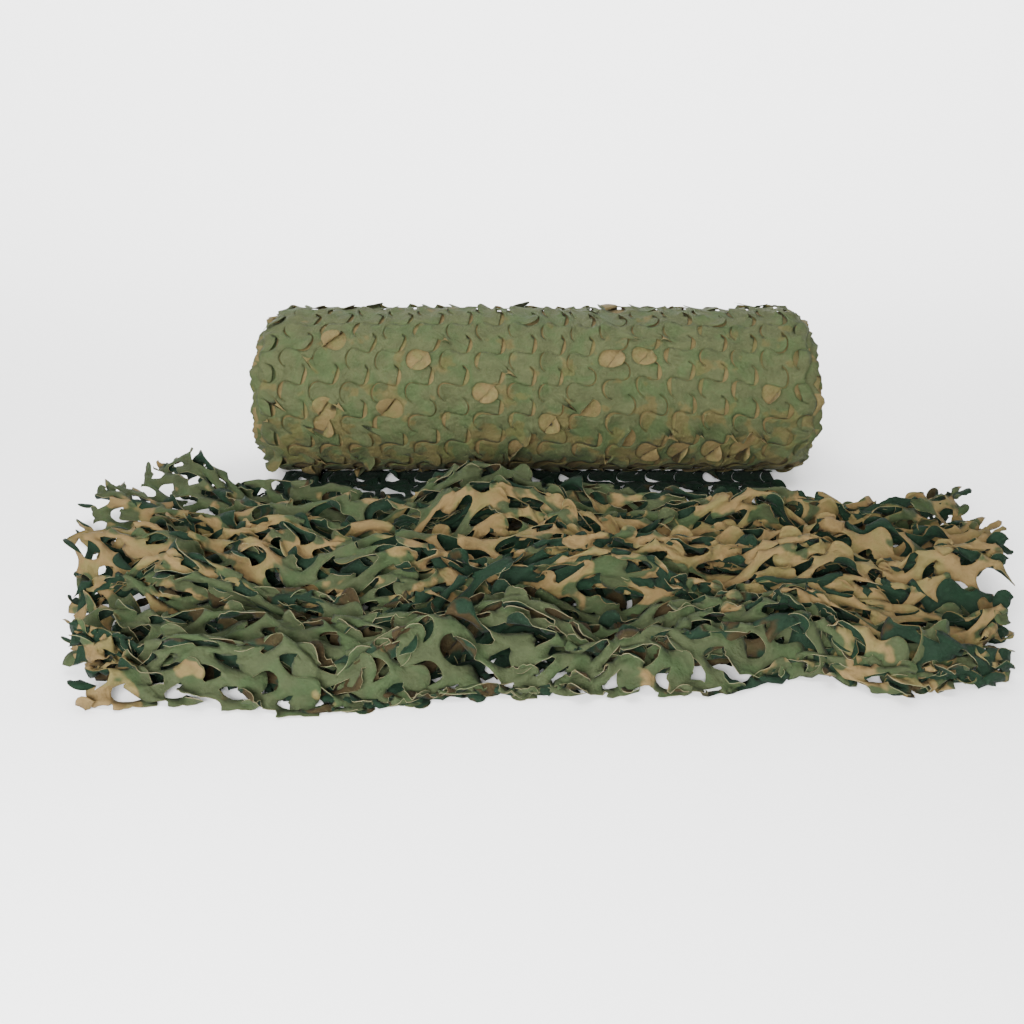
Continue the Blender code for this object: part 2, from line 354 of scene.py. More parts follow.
def cut_web_tree():
    """Sets one cell of cut cloth beside the next, and gives each a draw for its two tongues."""
    given = {"Cell": "Geometry", "Columns": "Int", "Rows": "Int", "Seed": "Int"}
    given["Cloth"] = "Material"
    tree, given, made = add_tree("GeometryNodeTree", "cut web", given, {"Web": "Geometry"})
    counts = {"Vertices X": given["Columns"], "Vertices Y": given["Rows"]}
    sizes = {
        "Size X": math_node(tree, "SUBTRACT", given["Columns"], 1),
        "Size Y": math_node(tree, "SUBTRACT", given["Rows"], 1),
    }
    grid = add_node(tree, "GeometryNodeMeshGrid", sizes | counts)
    cells = {"Points": grid.outputs["Mesh"], "Instance": given["Cell"]}
    last = add_node(tree, "GeometryNodeInstanceOnPoints", cells).outputs[0]
    for offset, name in enumerate(("draw_a", "draw_b")):
        seed = math_node(tree, "ADD", given["Seed"], 100 * offset)
        draw = add_node(tree, "FunctionNodeRandomValue", {"Seed": seed}).outputs[1]
        stored = {"Geometry": last, "Name": name, "Value": draw}
        kind = "GeometryNodeStoreNamedAttribute"
        last = add_node(tree, kind, stored, domain="INSTANCE", data_type="FLOAT").outputs[0]
    last = add_node(tree, "GeometryNodeRealizeInstances", {"Geometry": last}).outputs[0]
    welded = {"Geometry": last, "Distance": WELD}
    last = add_node(tree, "GeometryNodeMergeByDistance", welded).outputs[0]
    clothed = {"Geometry": last, "Material": given["Cloth"]}
    last = add_node(tree, "GeometryNodeSetMaterial", clothed).outputs[0]
    tree.links.new(last, made["Web"])
    return tree


def add_two_faces(obj):
    """Gives a sheet its thickness, and its reverse the next material."""
    faces = obj.modifiers.new("two faces", "SOLIDIFY")
    faces.thickness = CLOTH_THICKNESS
    faces.offset = 0.0
    faces.material_offset = 1
    return faces


def plain_mesh(obj, name):
    """The mesh that an object's modifiers make, as a new object with none."""
    evaluated = obj.evaluated_get(bpy.context.evaluated_depsgraph_get())
    mesh = bpy.data.meshes.new_from_object(evaluated)
    mesh.name = name
    bpy.data.objects.remove(obj, do_unlink=True)
    return add_object(name, mesh)


class Web:
    """A flat stretch of cut web: cloth coordinates u and v of its points, and their tongues."""

    tongue_bend = (0.002, 0.018)  # a tongue stays flat, and then bends, over these lengths

    def __init__(self, name, cell, tree, rows, seed, materials):
        source = add_object(name + "_flat", cell.data.copy())
        modifier = source.modifiers.new("cut web", "NODES")
        modifier.node_group = tree
        values = {"Columns": COLUMNS, "Rows": rows, "Seed": seed, "Cloth": materials[0]}
        for item in tree.interface.items_tree:
            if item.name in values:
                modifier[item.identifier] = values[item.name]
        self.obj = plain_mesh(source, name)
        self.mesh = self.obj.data
        self.rows = rows
        self.trim_edges()
        flat = read_all(self.mesh.vertices, "co", each=3).reshape(-1, 3).astype(float)
        self.u = flat[:, 0] + COLUMNS / 2
        self.v = flat[:, 1] + rows / 2
        self.opening = take_attribute(self.mesh, "opening")
        self.tongues, self.caps, self.draws = (
            [take_attribute(self.mesh, kind + end) for end in ("_a", "_b")]
            for kind in ("tongue", "cap", "draw")
        )
        self.mesh.materials.clear()
        for material in materials:
            self.mesh.materials.append(material)

    def trim_edges(self):
        """The web's sides and hem pass through the cuts, so that tongues and lobes stand out."""
        side = COLUMNS / 2 - 0.5
        hem = self.rows / 2 - 0.5 + HEM_CUT

        def loose(face):
            middle = face.calc_center_median()
            return abs(middle.x) > side or middle.y > hem

        delete_faces(self.mesh, loose)

    def bend_tongues(self, angles, cap_angles=None):
        """Curls each tongue about its root, and tucks the crescent at its edge under.

        The angles are those of the tips in radians, one for each point's tongue. Gives the moves
        across, along and out of the cloth, in cells, cells and metres."""
        moves = np.zeros((3, len(self.u)))
        bends = [(tongue_way(), self.tongues, angles, self.tongue_bend)]
        if cap_angles:
            bends.append((CAP_WAY, self.caps, cap_angles, CAP_BEND))
        for way, distances, tips, (flat_run, bend_run) in bends:
            for sign, distance, angle in zip((1, -1), distances, tips):
                angle = np.where(np.abs(angle) < 1e-3, 1e-3, angle)
                run = np.maximum(distance - flat_run, 0)
                bent, rest = np.minimum(run, bend_run), np.maximum(run - bend_run, 0)
                turn = angle * bent / bend_run
                forward = bend_run / angle * np.sin(turn) + rest * np.cos(angle) - run
                moves[0] += sign * way[0] * forward / CELL_ACROSS
                moves[1] += sign * way[1] * forward / CELL_ALONG
                moves[2] += bend_run / angle * (1 - np.cos(turn)) + rest * np.sin(angle)
        return moves

    def finish(self, points, tan):
        """Puts the points in place, keeps the cloth coordinates as a UV map in metres and the
        print's share of tan as an attribute, and gives the cloth its two faces."""
        self.mesh.vertices.foreach_set("co", np.ascontiguousarray(points, np.float32).ravel())
        add_cloth_coordinates(self.mesh, self.flat_points())
        add_attribute(self.mesh, "tan", tan)
        self.mesh.shade_smooth()
        self.mesh.update()
        faces = add_two_faces(self.obj)
        faces.material_offset_rim = 2
        faces.use_quality_normals = True
        return self.obj

    def flat_points(self):
        return np.stack([self.u * CELL_ACROSS, self.v * CELL_ALONG], axis=1)

    def divided(self, name, v):
        """Takes the web's part beyond v into a piece of its own, along the bottom of a tuck."""
        beyond = self.obj.copy()
        beyond.name = name
        beyond.data = self.mesh.copy()
        beyond.data.name = name
        bpy.context.scene.collection.objects.link(beyond)

        def is_beyond(face):
            return sum(self.v[corner.index] for corner in face.verts) / len(face.verts) > v

        delete_faces(self.mesh, is_beyond)
        delete_faces(beyond.data, lambda face: not is_beyond(face))
        return beyond


# ---------------------------------------------------------------- unevenness


class Crumple:
    """Soft creases over the cloth: a sum of ridged and smooth waves in cloth metres."""

    def __init__(self, seed, count, shortest, longest, ridged=0.5):
        rng = np.random.default_rng(seed)
        self.length = rng.uniform(shortest, longest, count)
        turn = rng.uniform(0, math.tau, count)
        self.wave = np.stack([np.cos(turn), np.sin(turn)]) * math.tau / self.length
        self.phase = rng.uniform(0, math.tau, count)
        self.ridged = rng.uniform(0, 1, count) < ridged
        self.scale = 1 / math.sqrt(np.sum((self.length / longest) ** 2) / 2)
        self.longest = longest

    def __call__(self, x, y):
        total = np.zeros_like(x)
        for k in range(len(self.length)):
            angle = self.wave[0, k] * x + self.wave[1, k] * y + self.phase[k]
            if self.ridged[k]:
                wave = 1.57 - 1.95 * np.abs(np.sin(angle / 2)) ** 0.9
            else:
                wave = np.sin(angle)
            total += wave * self.length[k] / self.longest
        return total * self.scale


def smoothstep(low, high, value):
    share = np.clip((value - low) / (high - low), 0, 1)
    return share * share * (3 - 2 * share)


# ---------------------------------------------------------------- how the loose web settles

HINGE_LEAST = 0.90  # of the flat distance across an edge: below this, the cloth resists bending
SETTLE_STEPS = 160
SETTLE_HOLD = 0.10  # how much of its way back to its place a cell goes in one step
OVERSHOOT = 1.5  # each step corrects the lengths by more than it should, to settle sooner


def cloth_links(mesh):
    """The mesh's edges, and the pairs of points that face each other across an edge."""
    triangles = read_all(mesh.loops, "vertex_index", kind=np.int32).reshape(-1, 3)
    pairs, facing = [], []
    for k in range(3):
        pairs.append(np.sort(triangles[:, [k, (k + 1) % 3]], axis=1))
        facing.append(triangles[:, (k + 2) % 3])
    pairs, facing = np.vstack(pairs), np.concatenate(facing)
    order = np.lexsort((pairs[:, 1], pairs[:, 0]))
    pairs, facing = pairs[order], facing[order]
    same = np.all(pairs[1:] == pairs[:-1], axis=1)
    first = np.concatenate([[True], ~same])
    return pairs[first], np.stack([facing[:-1][same], facing[1:][same]], axis=1)


def gathered(index, values, count):
    return np.stack([np.bincount(index, values[:, k], count) for k in range(3)], axis=1)


def settled(web, points, keep_clear):
    """Lets the cloth take its true lengths again, while each cell stays about where it lies.

    Opened cuts gape, and what they free twists out of the net, as the cloth can't stretch."""
    count = len(points)
    edges, hinges = cloth_links(web.mesh)
    flat = web.flat_points()
    length = np.linalg.norm(flat[edges[:, 1]] - flat[edges[:, 0]], axis=1)
    width = np.linalg.norm(flat[hinges[:, 1]] - flat[hinges[:, 0]], axis=1) * HINGE_LEAST
    curled = np.maximum(*web.tongues)
    laid_width = np.linalg.norm(points[hinges[:, 1]] - points[hinges[:, 0]], axis=1)
    in_tongue = np.minimum(curled[hinges[:, 0]], curled[hinges[:, 1]]) > 0
    width = np.where(in_tongue, np.minimum(width, laid_width), width)
    cells = np.floor(web.u).astype(int).clip(0, COLUMNS - 1)
    cells = cells + COLUMNS * np.floor(web.v).astype(int).clip(0, web.rows - 1)
    in_cell = np.bincount(cells)
    placed = gathered(cells, points, len(in_cell)) / in_cell[:, None]
    for _ in range(SETTLE_STEPS):
        total = np.zeros((count, 3))
        weight = np.full(count, 1e-9)
        for (i, j), rest, soft in ((edges.T, length, False), (hinges.T, width, True)):
            away = points[j] - points[i]
            apart = np.sqrt(np.einsum("ij,ij->i", away, away)) + 1e-9
            change = 0.5 * (apart - rest) / apart
            if soft:
                pressed = apart < rest
                i, j, away, change = i[pressed], j[pressed], away[pressed], change[pressed]
            move = away * change[:, None]
            total += gathered(i, move, count) - gathered(j, move, count)
            weight += np.bincount(i, minlength=count) + np.bincount(j, minlength=count)
        points = points + OVERSHOOT * total / weight[:, None]
        moved = placed - gathered(cells, points, len(in_cell)) / in_cell[:, None]
        points = keep_clear(points + SETTLE_HOLD * moved[cells])
    return points


# ---------------------------------------------------------------- the folds of the free end

START_Y = -0.030  # the net runs on from the part of the roll that rests on the floor
# The net goes forward over the floor, back over itself and forward again, over the pile's crests.
# Each line's name, then its x, y, z at the left, y, z in the middle and x, y, z at the right
UNDER_LINES = (
    ("leaves the roll", -0.700, START_Y, 0.002, START_Y, 0.002, 0.660, START_Y, 0.002),
    ("floor run", -0.705, -0.170, 0.004, -0.170, 0.004, 0.665, -0.170, 0.004),
    ("foot of the pile", -0.720, -0.290, 0.006, -0.330, 0.008, 0.690, -0.290, 0.006),
    ("under the pile", -0.760, -0.520, 0.006, -0.560, 0.008, 0.760, -0.500, 0.006),
    ("towards the front", -0.830, -0.840, 0.006, -0.850, 0.008, 0.800, -0.790, 0.006),
    ("front turn", -0.840, -1.180, 0.008, -1.150, 0.008, 0.820, -1.090, 0.008),
    ("going back", -0.860, -0.840, 0.026, -0.850, 0.030, 0.830, -0.790, 0.026),
    ("back again", -0.800, -0.560, 0.034, -0.580, 0.045, 0.820, -0.540, 0.030),
    ("back turn", -0.780, -0.330, 0.030, -0.410, 0.050, 0.780, -0.330, 0.030),
)
TOP_LINES = (
    ("back turn", -0.730, -0.350, 0.010, -0.430, 0.018, 0.700, -0.400, 0.010),
    ("first crest", -0.970, -0.410, 0.045, -0.505, 0.080, 0.980, -0.450, 0.045),
    ("first nose", -1.130, -0.515, 0.040, -0.690, 0.085, 1.050, -0.500, 0.045),
    ("first tuck", -1.025, -0.635, 0.012, -0.670, 0.040, 1.020, -0.600, 0.012),
    ("second crest", -1.010, -0.745, 0.070, -0.805, 0.100, 1.000, -0.710, 0.075),
    ("second nose", -0.990, -0.915, 0.045, -0.960, 0.072, 0.950, -0.880, 0.055),
    ("second tuck", -0.955, -0.975, 0.010, -0.950, 0.030, 0.920, -0.920, 0.012),
    ("third crest", -0.905, -1.150, 0.060, -1.110, 0.056, 0.880, -1.065, 0.062),
    ("hem", -0.840, -1.240, 0.003, -1.205, 0.003, 0.840, -1.150, 0.003),
)
TOP_DIVIDE = 3.1  # the place of the tuck that the free end's two upper pieces meet in
# Each bulge's name, place and side, how far it reaches along and across, and how far it moves the
# net outward, back and up
TOP_BULGES = (
    ("back lobe, left", 1.0, -1.20, 0.8, 0.30, 0.000, 0.280, 0.015),
    ("back lobe, right", 1.0, 1.08, 0.9, 0.24, 0.000, 0.110, 0.022),
    ("notch by the roll's right end", 0.8, 0.66, 0.9, 0.24, 0.000, -0.085, -0.038),
    ("crest before the roll", 1.0, -0.12, 0.8, 0.16, 0.000, 0.070, 0.022),
    ("notch in the left edge", 3.0, -1.00, 0.6, 0.12, -0.065, 0.000, 0.000),
    ("lobe at the hem, right", 8.0, 0.78, 0.7, 0.10, 0.000, -0.035, 0.000),
    ("dent in the hem, right", 8.0, 0.56, 0.7, 0.10, 0.000, 0.030, 0.000),
)
WANDER = 0.034
HEM_WANDER = 0.35
CREST_SWING = 0.27


def bell(place, side, spot):
    """1 at a spot, and less around it. spot: its place and side, its reach along and across."""
    far_along = (place - spot[0]) / spot[2]
    far_across = (side - spot[1]) / spot[3]
    return np.exp(-(far_along**2) - far_across**2)


def arched(left, middle, right, side):
    return middle + (right - left) / 2 * side + ((left + right) / 2 - middle) * side**2


class Folds:
    """The surface that runs over a table of fold lines, and its bulges."""

    def __init__(self, lines, bulges, first_place, rows):
        self.table = np.array([line[1:] for line in lines], float)
        self.bulges = bulges
        self.first_place = first_place  # place of the table's first line among all the folds
        self.rows = rows
        self.last = len(lines) - 1
        places = np.linspace(0, self.last, 800)
        middle = self.lie(places, np.zeros_like(places))
        run = np.concatenate([[0], np.cumsum(np.linalg.norm(np.diff(middle, axis=0), axis=1))])
        self.places, self.run = places, run
        self.length = run[-1]

    def column(self, index, place):
        k = np.clip(place.astype(int), 0, self.last - 1)
        near = (self.table[np.clip(k + n, 0, self.last), index] for n in (-1, 0, 1, 2))
        return spline(*near, place - k)

    def lie(self, place, side):
        """The folds alone, at a place in the table and a side from -1 to 1."""
        x_left, y_left, z_left, y_mid, z_mid, x_right, y_right, z_right = (
            self.column(k, place) for k in range(self.table.shape[1])
        )
        x = x_left + (x_right - x_left) * (side + 1) / 2
        y = arched(y_left, y_mid, y_right, side)
        z = arched(z_left, z_mid, z_right, side)
        up = np.zeros_like(x)
        for _, *spot, outward, back, rise in self.bulges:
            weight = bell(place, side, spot)
            x = x + weight * outward * np.sign(side)
            y = y + weight * back
            up = up + weight * rise
        at = place + self.first_place
        loose = smoothstep(1.0, 3.0, at)
        sway = WANDER * loose * (1 - (1 - HEM_WANDER) * smoothstep(8.5, 10.0, at))
        x = x + WANDER * loose * 0.5 * np.sin(2.1 * at + 1.0) * (1 - side * side)
        y = y + sway * (np.sin(4.6 * side + 0.5) + 0.6 * np.sin(9.5 * side + 2.0))
        swing = np.sin(7.5 * side + 1.1 * at) + np.sin(13.0 * side - at)
        swing = swing + np.sin(20.0 * side + 2.3 * at)
        z = (z + up) * (1 + CREST_SWING * swing / 2)
        return np.stack([x, y, z], axis=-1)

    def v_of(self, place):
        return float(np.interp(place, self.places, self.run)) / self.length * self.rows

    def place_of(self, v):
        return np.interp(v / self.rows * self.length, self.run, self.places)


def laid(web, surface, angles, opening, lift, cap_angles=None):
    """Bends the web onto a surface, a function of u and v, with its tongues curled."""
    moves = web.bend_tongues(angles, cap_angles)
    u = web.u + moves[0] + opening * web.opening
    v = web.v + moves[1]
    step = 0.02
    here = surface(u, v)
    over_u = (surface(u + step, v) - surface(u - step, v)) / (2 * step)
    over_v = (surface(u, v + step) - surface(u, v - step)) / (2 * step)
    normal = np.cross(over_u, over_v)
    normal /= np.linalg.norm(normal, axis=1)[:, None] + 1e-12
    out = moves[2] + lift * web.opening
    return here + normal * out[:, None]


# ---------------------------------------------------------------- materials


def noise(tree, cloth, scale, detail, roughness=0.5, distortion=0.0):
    values = {
        "Vector": cloth,
        "Scale": scale,
        "Detail": detail,
        "Roughness": roughness,
        "Distortion": distortion,
    }
    return add_node(tree, "ShaderNodeTexNoise", values).outputs[0]


def soft_step(tree, value, low, high):
    values = {"Value": value, "From Min": low, "From Max": high}
    kind = "ShaderNodeMapRange"
    return add_node(tree, kind, values, interpolation_type="SMOOTHSTEP").outputs[0]


def mixed(tree, share, a, b, **settings):
    values = {"Factor": share, "A": a, "B": b}
    node = add_node(tree, "ShaderNodeMix", values, data_type="RGBA", **settings)
    return node.outputs["Result"]


def woven_cloth_group():
    """A plain weave with slubs: its height, and a mask of the yarns that stand up."""
    given = {"Cloth": "Vector", "Yarns per metre": "Float"}
    made = {"Height": "Float", "Raised yarn": "Float"}
    tree, given, made = add_tree("ShaderNodeTree", "woven cloth", given, made)
    split = add_node(tree, "ShaderNodeSeparateXYZ", {0: given["Cloth"]})
    turns = math_node(tree, "MULTIPLY", given["Yarns per metre"], math.pi)
    angles = [math_node(tree, "MULTIPLY", split.outputs[axis], turns) for axis in "XY"]
    yarns = [math_node(tree, "SINE", angle) for angle in angles]
    raised = math_node(tree, "MULTIPLY_ADD", math_node(tree, "MULTIPLY", *yarns), 0.5, 0.5)
    slub = math_node(tree, "MULTIPLY", noise(tree, given["Cloth"], 900.0, 1.0), 0.6)
    tree.links.new(math_node(tree, "ADD", raised, slub), made["Height"])
    tree.links.new(raised, made["Raised yarn"])
    return tree


def camouflage_print_group():
    """Two printed colours that meet in soft, cloudy edges, greener, faded and soiled in places."""
    given = {
        "Cloth": "Vector",
        "Share": "Float",
        "Ground": "Color",
        "Patch": "Color",
        "Patch size": "Float",
        "Fading": "Float",
    }
    tree, given, made = add_tree("ShaderNodeTree", "camouflage print", given, {"Colour": "Color"})
    cloth = given["Cloth"]
    scale = math_node(tree, "DIVIDE", 1.0, given["Patch size"])
    clouds = math_node(tree, "SUBTRACT", noise(tree, cloth, scale, 2.5, 0.55), 0.5)
    level = math_node(tree, "ADD", given["Share"], math_node(tree, "MULTIPLY", clouds, 2.2))
    patches = soft_step(tree, level, 0.44, 0.56)
    colour = mixed(tree, patches, given["Ground"], given["Patch"])
    greener = soft_step(tree, noise(tree, cloth, 17.0, 3.0, distortion=0.4), 0.42, 0.66)
    colour = mixed(tree, greener, colour, GREENER, blend_type="MULTIPLY")
    soil = math_node(tree, "SUBTRACT", noise(tree, cloth, 26.0, 5.0, 0.6), 0.5)
    change = math_node(tree, "MULTIPLY", math_node(tree, "MULTIPLY", soil, 2.0), given["Fading"])
    values = {0: colour, "Scale": math_node(tree, "ADD", change, 1.0)}
    shade = add_node(tree, "ShaderNodeVectorMath", values, operation="SCALE")
    tree.links.new(shade.outputs[0], made["Colour"])
    return tree


def cloth_material(groups, name, ground, patch, patch_size, fading, share_slope, share_start):
    """Matt printed cloth. The patches' share is the attribute tan, times a slope, plus a start."""
    weave_tree, print_tree = groups
    material = bpy.data.materials.new(name)
    material.use_nodes = True
    tree = material.node_tree
    cloth = add_node(tree, "ShaderNodeUVMap", {}, uv_map="cloth").outputs["UV"]
    tan = add_node(tree, "ShaderNodeAttribute", {}, attribute_name="tan").outputs["Fac"]
    values = {
        "Cloth": cloth,
        "Share": math_node(tree, "MULTIPLY_ADD", tan, share_slope, share_start),
        "Ground": (*ground, 1),
        "Patch": (*patch, 1),
        "Patch size": patch_size,
        "Fading": fading,
    }
    pattern = add_node(tree, "ShaderNodeGroup", values, node_tree=print_tree)
    values = {"Cloth": cloth, "Yarns per metre": 900.0}
    weave = add_node(tree, "ShaderNodeGroup", values, node_tree=weave_tree)
    values = {"Strength": 0.35, "Distance": 0.0003, "Height": weave.outputs["Height"]}
    bump = add_node(tree, "ShaderNodeBump", values)
    values = {
        "Strength": 0.8,
        "Distance": 0.006,
        "Height": noise(tree, cloth, 75.0, 4.0),
        "Normal": bump.outputs[0],
    }
    creases = add_node(tree, "ShaderNodeBump", values)
    shader = tree.nodes["Principled BSDF"].inputs
    shader["Specular IOR Level"].default_value = 0.07
    shader["Sheen Weight"].default_value = 0.015
    shader["Sheen Roughness"].default_value = 0.5
    rough = math_node(tree, "MULTIPLY_ADD", weave.outputs["Raised yarn"], -0.10, 0.84)
    tree.links.new(rough, shader["Roughness"])
    tree.links.new(pattern.outputs["Colour"], shader["Base Color"])
    tree.links.new(creases.outputs[0], shader["Normal"])
    return material


OLIVE = (0.041, 0.047, 0.021)
WARM_OLIVE = (0.057, 0.050, 0.020)
LEAF = (0.027, 0.034, 0.0155)
# Painted shade: the free end's outer face is the roll's olive, made far darker to stand in for the
# shade under the folds and in the gaps
OLIVE_IN_PAINTED_SHADE = (0.0052, 0.0130, 0.0070)
TAN = (0.101, 0.069, 0.029)
DULL_TAN = (0.088, 0.066, 0.028)
BROWN = (0.020, 0.014, 0.006)
# Painted shade: the under layer's upper face, near-black green where the top layer shades it
GREEN_IN_PAINTED_SHADE = (0.004, 0.011, 0.006)
# Painted highlight: a pale colour on the rims of the top layers' cut edges, standing in for light
# catching them
CUT_EDGE_PAINTED_HIGHLIGHT = (0.150, 0.130, 0.075)
GREENER = (0.82, 1.00, 0.90, 1)  # the print's colours are multiplied by this in places
CLOTHS = (
    # name, ground, patch, patch size, fading, then the patches' share: its slope and its start
    ("olive_face", OLIVE, WARM_OLIVE, 0.07, 0.45, 1.0, 0.0),
    ("tan_reverse", DULL_TAN, BROWN, 0.12, 0.40, 0.5, 0.0),
    # painted shade on the free end's outer face; its brown patches are print
    ("olive_face_in_painted_shade", OLIVE_IN_PAINTED_SHADE, BROWN, 0.09, 0.30, -0.8, 0.52),
    ("patched_reverse", LEAF, TAN, 0.09, 0.40, 1.0, 0.0),
    # painted shade on the under layer's upper face and rims
    ("reverse_in_painted_shade", GREEN_IN_PAINTED_SHADE, BROWN, 0.12, 0.30, 1.0, 0.0),
    # painted highlight on the cut rims
    ("cut_edge_painted_highlight", CUT_EDGE_PAINTED_HIGHLIGHT, TAN, 0.12, 0.30, 1.0, 0.0),
)


# ---------------------------------------------------------------- pieces


ROLL_AXIS = math.sqrt(ROLL_RADIUS**2 - REST_HALF_WIDTH**2)  # its height
REST_ANGLE = math.asin(REST_HALF_WIDTH / ROLL_RADIUS)


def clear_of_rest(angle):
    """0 where the roll rests on the floor, 1 well away from there."""
    return smoothstep(math.radians(20), math.radians(50), np.arccos(np.cos(angle)))


def roll_relief(x, angle):
    """How far the wound web stands out of a true cylinder: its spiral, and soft unevenness."""
    spiral = TURN_STEP * (np.mod(angle + REST_ANGLE, math.tau) / math.tau)
    slow = np.sin(3 * angle + 4.1 * x) + np.sin(2 * angle - 7.3 * x)
    uneven = 0.0015 * slow + 0.0022 * roll_crumple(x, np.mod(angle, math.tau) * ROLL_RADIUS)
    return uneven * clear_of_rest(angle) - spiral


def roll_surface(u, v):
    """The outermost turn. v goes up the front of the roll, over it and down to the free end."""
    x, y = u * CELL_ACROSS, v * CELL_ALONG
    edge = smoothstep(1.3, 0.4, np.minimum(u, COLUMNS - u)) * np.sign(u - COLUMNS / 2)
    ragged = 0.10 + 0.13 * np.sin(5.1 * v) + 0.09 * np.sin(2.3 * v)
    u = u + 0.07 * roll_shift_u(x, y) + edge * ragged
    v = v + 0.06 * roll_shift_v(x, y)
    angle = math.tau * (1 - v / ROLL_ROWS) - REST_ANGLE
    across = (u / COLUMNS - 0.5) * 2 * (ROLL_HALF + 0.012)
    beyond = np.maximum(np.abs(across) - (ROLL_HALF - SHOULDER), 0) / SHOULDER
    bend = np.minimum(beyond, 1.2)
    straight = np.minimum(np.abs(across), ROLL_HALF - SHOULDER)
    x = np.sign(across) * (straight + SHOULDER * np.sin(bend))
    x = x + END_LEAN * np.sin(np.radians(20) - angle) * across / ROLL_HALF
    radius = ROLL_RADIUS + roll_relief(x, angle) - SHOULDER * (1 - np.cos(bend))
    small = 0.0014 * np.cos(math.tau * u) + 0.0010 * roll_puckers(u * CELL_ACROSS, v * CELL_ALONG)
    radius = radius + small * clear_of_rest(angle)
    return np.stack([x, radius * np.sin(angle), ROLL_AXIS - radius * np.cos(angle)], axis=-1)


roll_crumple = Crumple(11, 22, 0.06, 0.26)
roll_puckers = Crumple(14, 30, 0.028, 0.07, 0.6)
roll_shift_u = Crumple(12, 12, 0.15, 0.50, 0.0)
roll_shift_v = Crumple(13, 12, 0.15, 0.50, 0.0)


def on_floor(points, least=0.0008):
    points[:, 2] = np.maximum(points[:, 2], least)
    return points


def clear_of_roll(points, least):
    """Above the floor, and outside the roll where it stands over the net."""
    y, z = points[:, 1], points[:, 2] - ROLL_AXIS
    away = np.sqrt(y * y + z * z) + 1e-9
    least_away = ROLL_RADIUS + 0.004
    under = (np.abs(points[:, 0]) < ROLL_HALF + 0.02) & (away < least_away)
    push = np.where(under, least_away / away, 1.0)
    points[:, 1] = y * push
    points[:, 2] = ROLL_AXIS + z * push
    return on_floor(points, least)


def spread_angles(draw, spread):
    """Tip angles in radians from draws: spread lists (share, lowest, highest) in degrees."""
    angle = np.zeros_like(draw)
    start = 0.0
    for share, low, high in spread:
        chosen = (draw >= start) & (draw < start + share)
        angle[chosen] = np.radians(low + (high - low) * (draw[chosen] - start) / share)
        start += share
    return angle


def make_roll_skin(cell, tree, materials):
    web = Web("roll_outer_turn", cell, tree, ROLL_ROWS, 21, materials)
    web.tongue_bend = (0.003, 0.010)
    # Tongues that face right are mostly tucked under at their edge, and the others lift a little.
    tongues = (
        ((0.05, 150, 178), (0.63, 1, 4), (0.10, 60, 130), (0.22, 3, 20)),
        ((0.04, 150, 178), (0.30, 1, 4), (0.06, 60, 130), (0.60, 4, 22)),
    )
    caps = (((0.05, 0, 0), (0.63, -178, -170)), ((0.04, 0, 0), (0.30, -178, -170)))
    angles = [spread_angles(draw, spread) for draw, spread in zip(web.draws, tongues)]
    # None stands up along the top of the roll.
    around = math.tau * (1 - web.v / ROLL_ROWS) - REST_ANGLE
    most = 0.30 + 2.0 * smoothstep(0.6, 0.3, -np.cos(around))
    angles = [np.where(angle < 2.5, np.minimum(angle, most), angle) for angle in angles]
    cap_angles = [spread_angles(draw, spread) for draw, spread in zip(web.draws, caps)]
    points = laid(web, roll_surface, angles, 0.03, 0.0015, cap_angles)
    share = 0.22 + 0.32 * smoothstep(0.34, 0.06, points[:, 2]) * (points[:, 1] < 0)
    return web.finish(on_floor(points), share)


def add_cloth_mesh(name, points, faces, cloth, materials, tan):
    """A cloth piece from its points and faces, with its cloth coordinates and print."""
    mesh = bpy.data.meshes.new(name)
    mesh.from_pydata(points, [], faces)
    add_cloth_coordinates(mesh, np.array(cloth))
    add_attribute(mesh, "tan", np.full(len(points), tan))
    for material in materials:
        mesh.materials.append(material)
    mesh.shade_smooth()
    return add_object(name, mesh)


BODY_DEPTH = 0.0048  # of the wound body below the outermost turn


def end_face_x(radius):
    """How far out the wound cloth reaches at this radius: the shoulder is rounded."""
    beyond = min(max((radius - (ROLL_RADIUS - SHOULDER)) / SHOULDER, 0.0), 1.0)
    return ROLL_HALF - 0.010 - SHOULDER * (1 - math.sqrt(1 - beyond * beyond))


def leaned(x, radius, angle):
    """The turns have slipped along the roll, out at the low front and in behind."""
    share = radius / ROLL_RADIUS * x / ROLL_HALF
    return x + END_LEAN * math.sin(math.radians(20) - angle) * share


def make_wound_body(material):
    """The wound cloth under the outermost turn."""
    around = 120
    profile = []
    for radius in np.arange(0.012, ROLL_RADIUS - BODY_DEPTH, 0.012):
        profile.append((end_face_x(radius + BODY_DEPTH) - 0.024, radius))
    edge_x = profile[-1][0]
    barrel_x = np.linspace(-edge_x + 0.012, edge_x - 0.012, 60)
    barrel = [(x, ROLL_RADIUS - BODY_DEPTH) for x in barrel_x]
    rings = [(-x, r) for x, r in profile] + barrel + [(x, r) for x, r in reversed(profile)]
    points, cloth = [], []
    for x, radius in rings:
        relief = roll_relief(np.full(around, x), np.arange(around) * math.tau / around)
        for k in range(around):
            angle = math.tau * k / around
            r = radius + float(relief[k]) * smoothstep(0.05, 0.2, radius)
            z = max(ROLL_AXIS - r * math.cos(angle), 0.002)
            points.append((leaned(x, radius, angle), r * math.sin(angle), z))
            cloth.append((x, angle * ROLL_RADIUS))
    faces = ring_faces(len(rings), around)
    faces.append(tuple(reversed(range(around))))
    faces.append(tuple(range(len(points) - around, len(points))))
    return add_cloth_mesh("roll_wound_body", points, faces, cloth, (material,), 0.1)


TURN_PITCH = 0.0085  # one turn of the web to the next, at the roll's ends
END_STEP = 0.012  # of their mesh, along the web
END_DEPTH = 0.042  # how deep into the roll the turns are followed


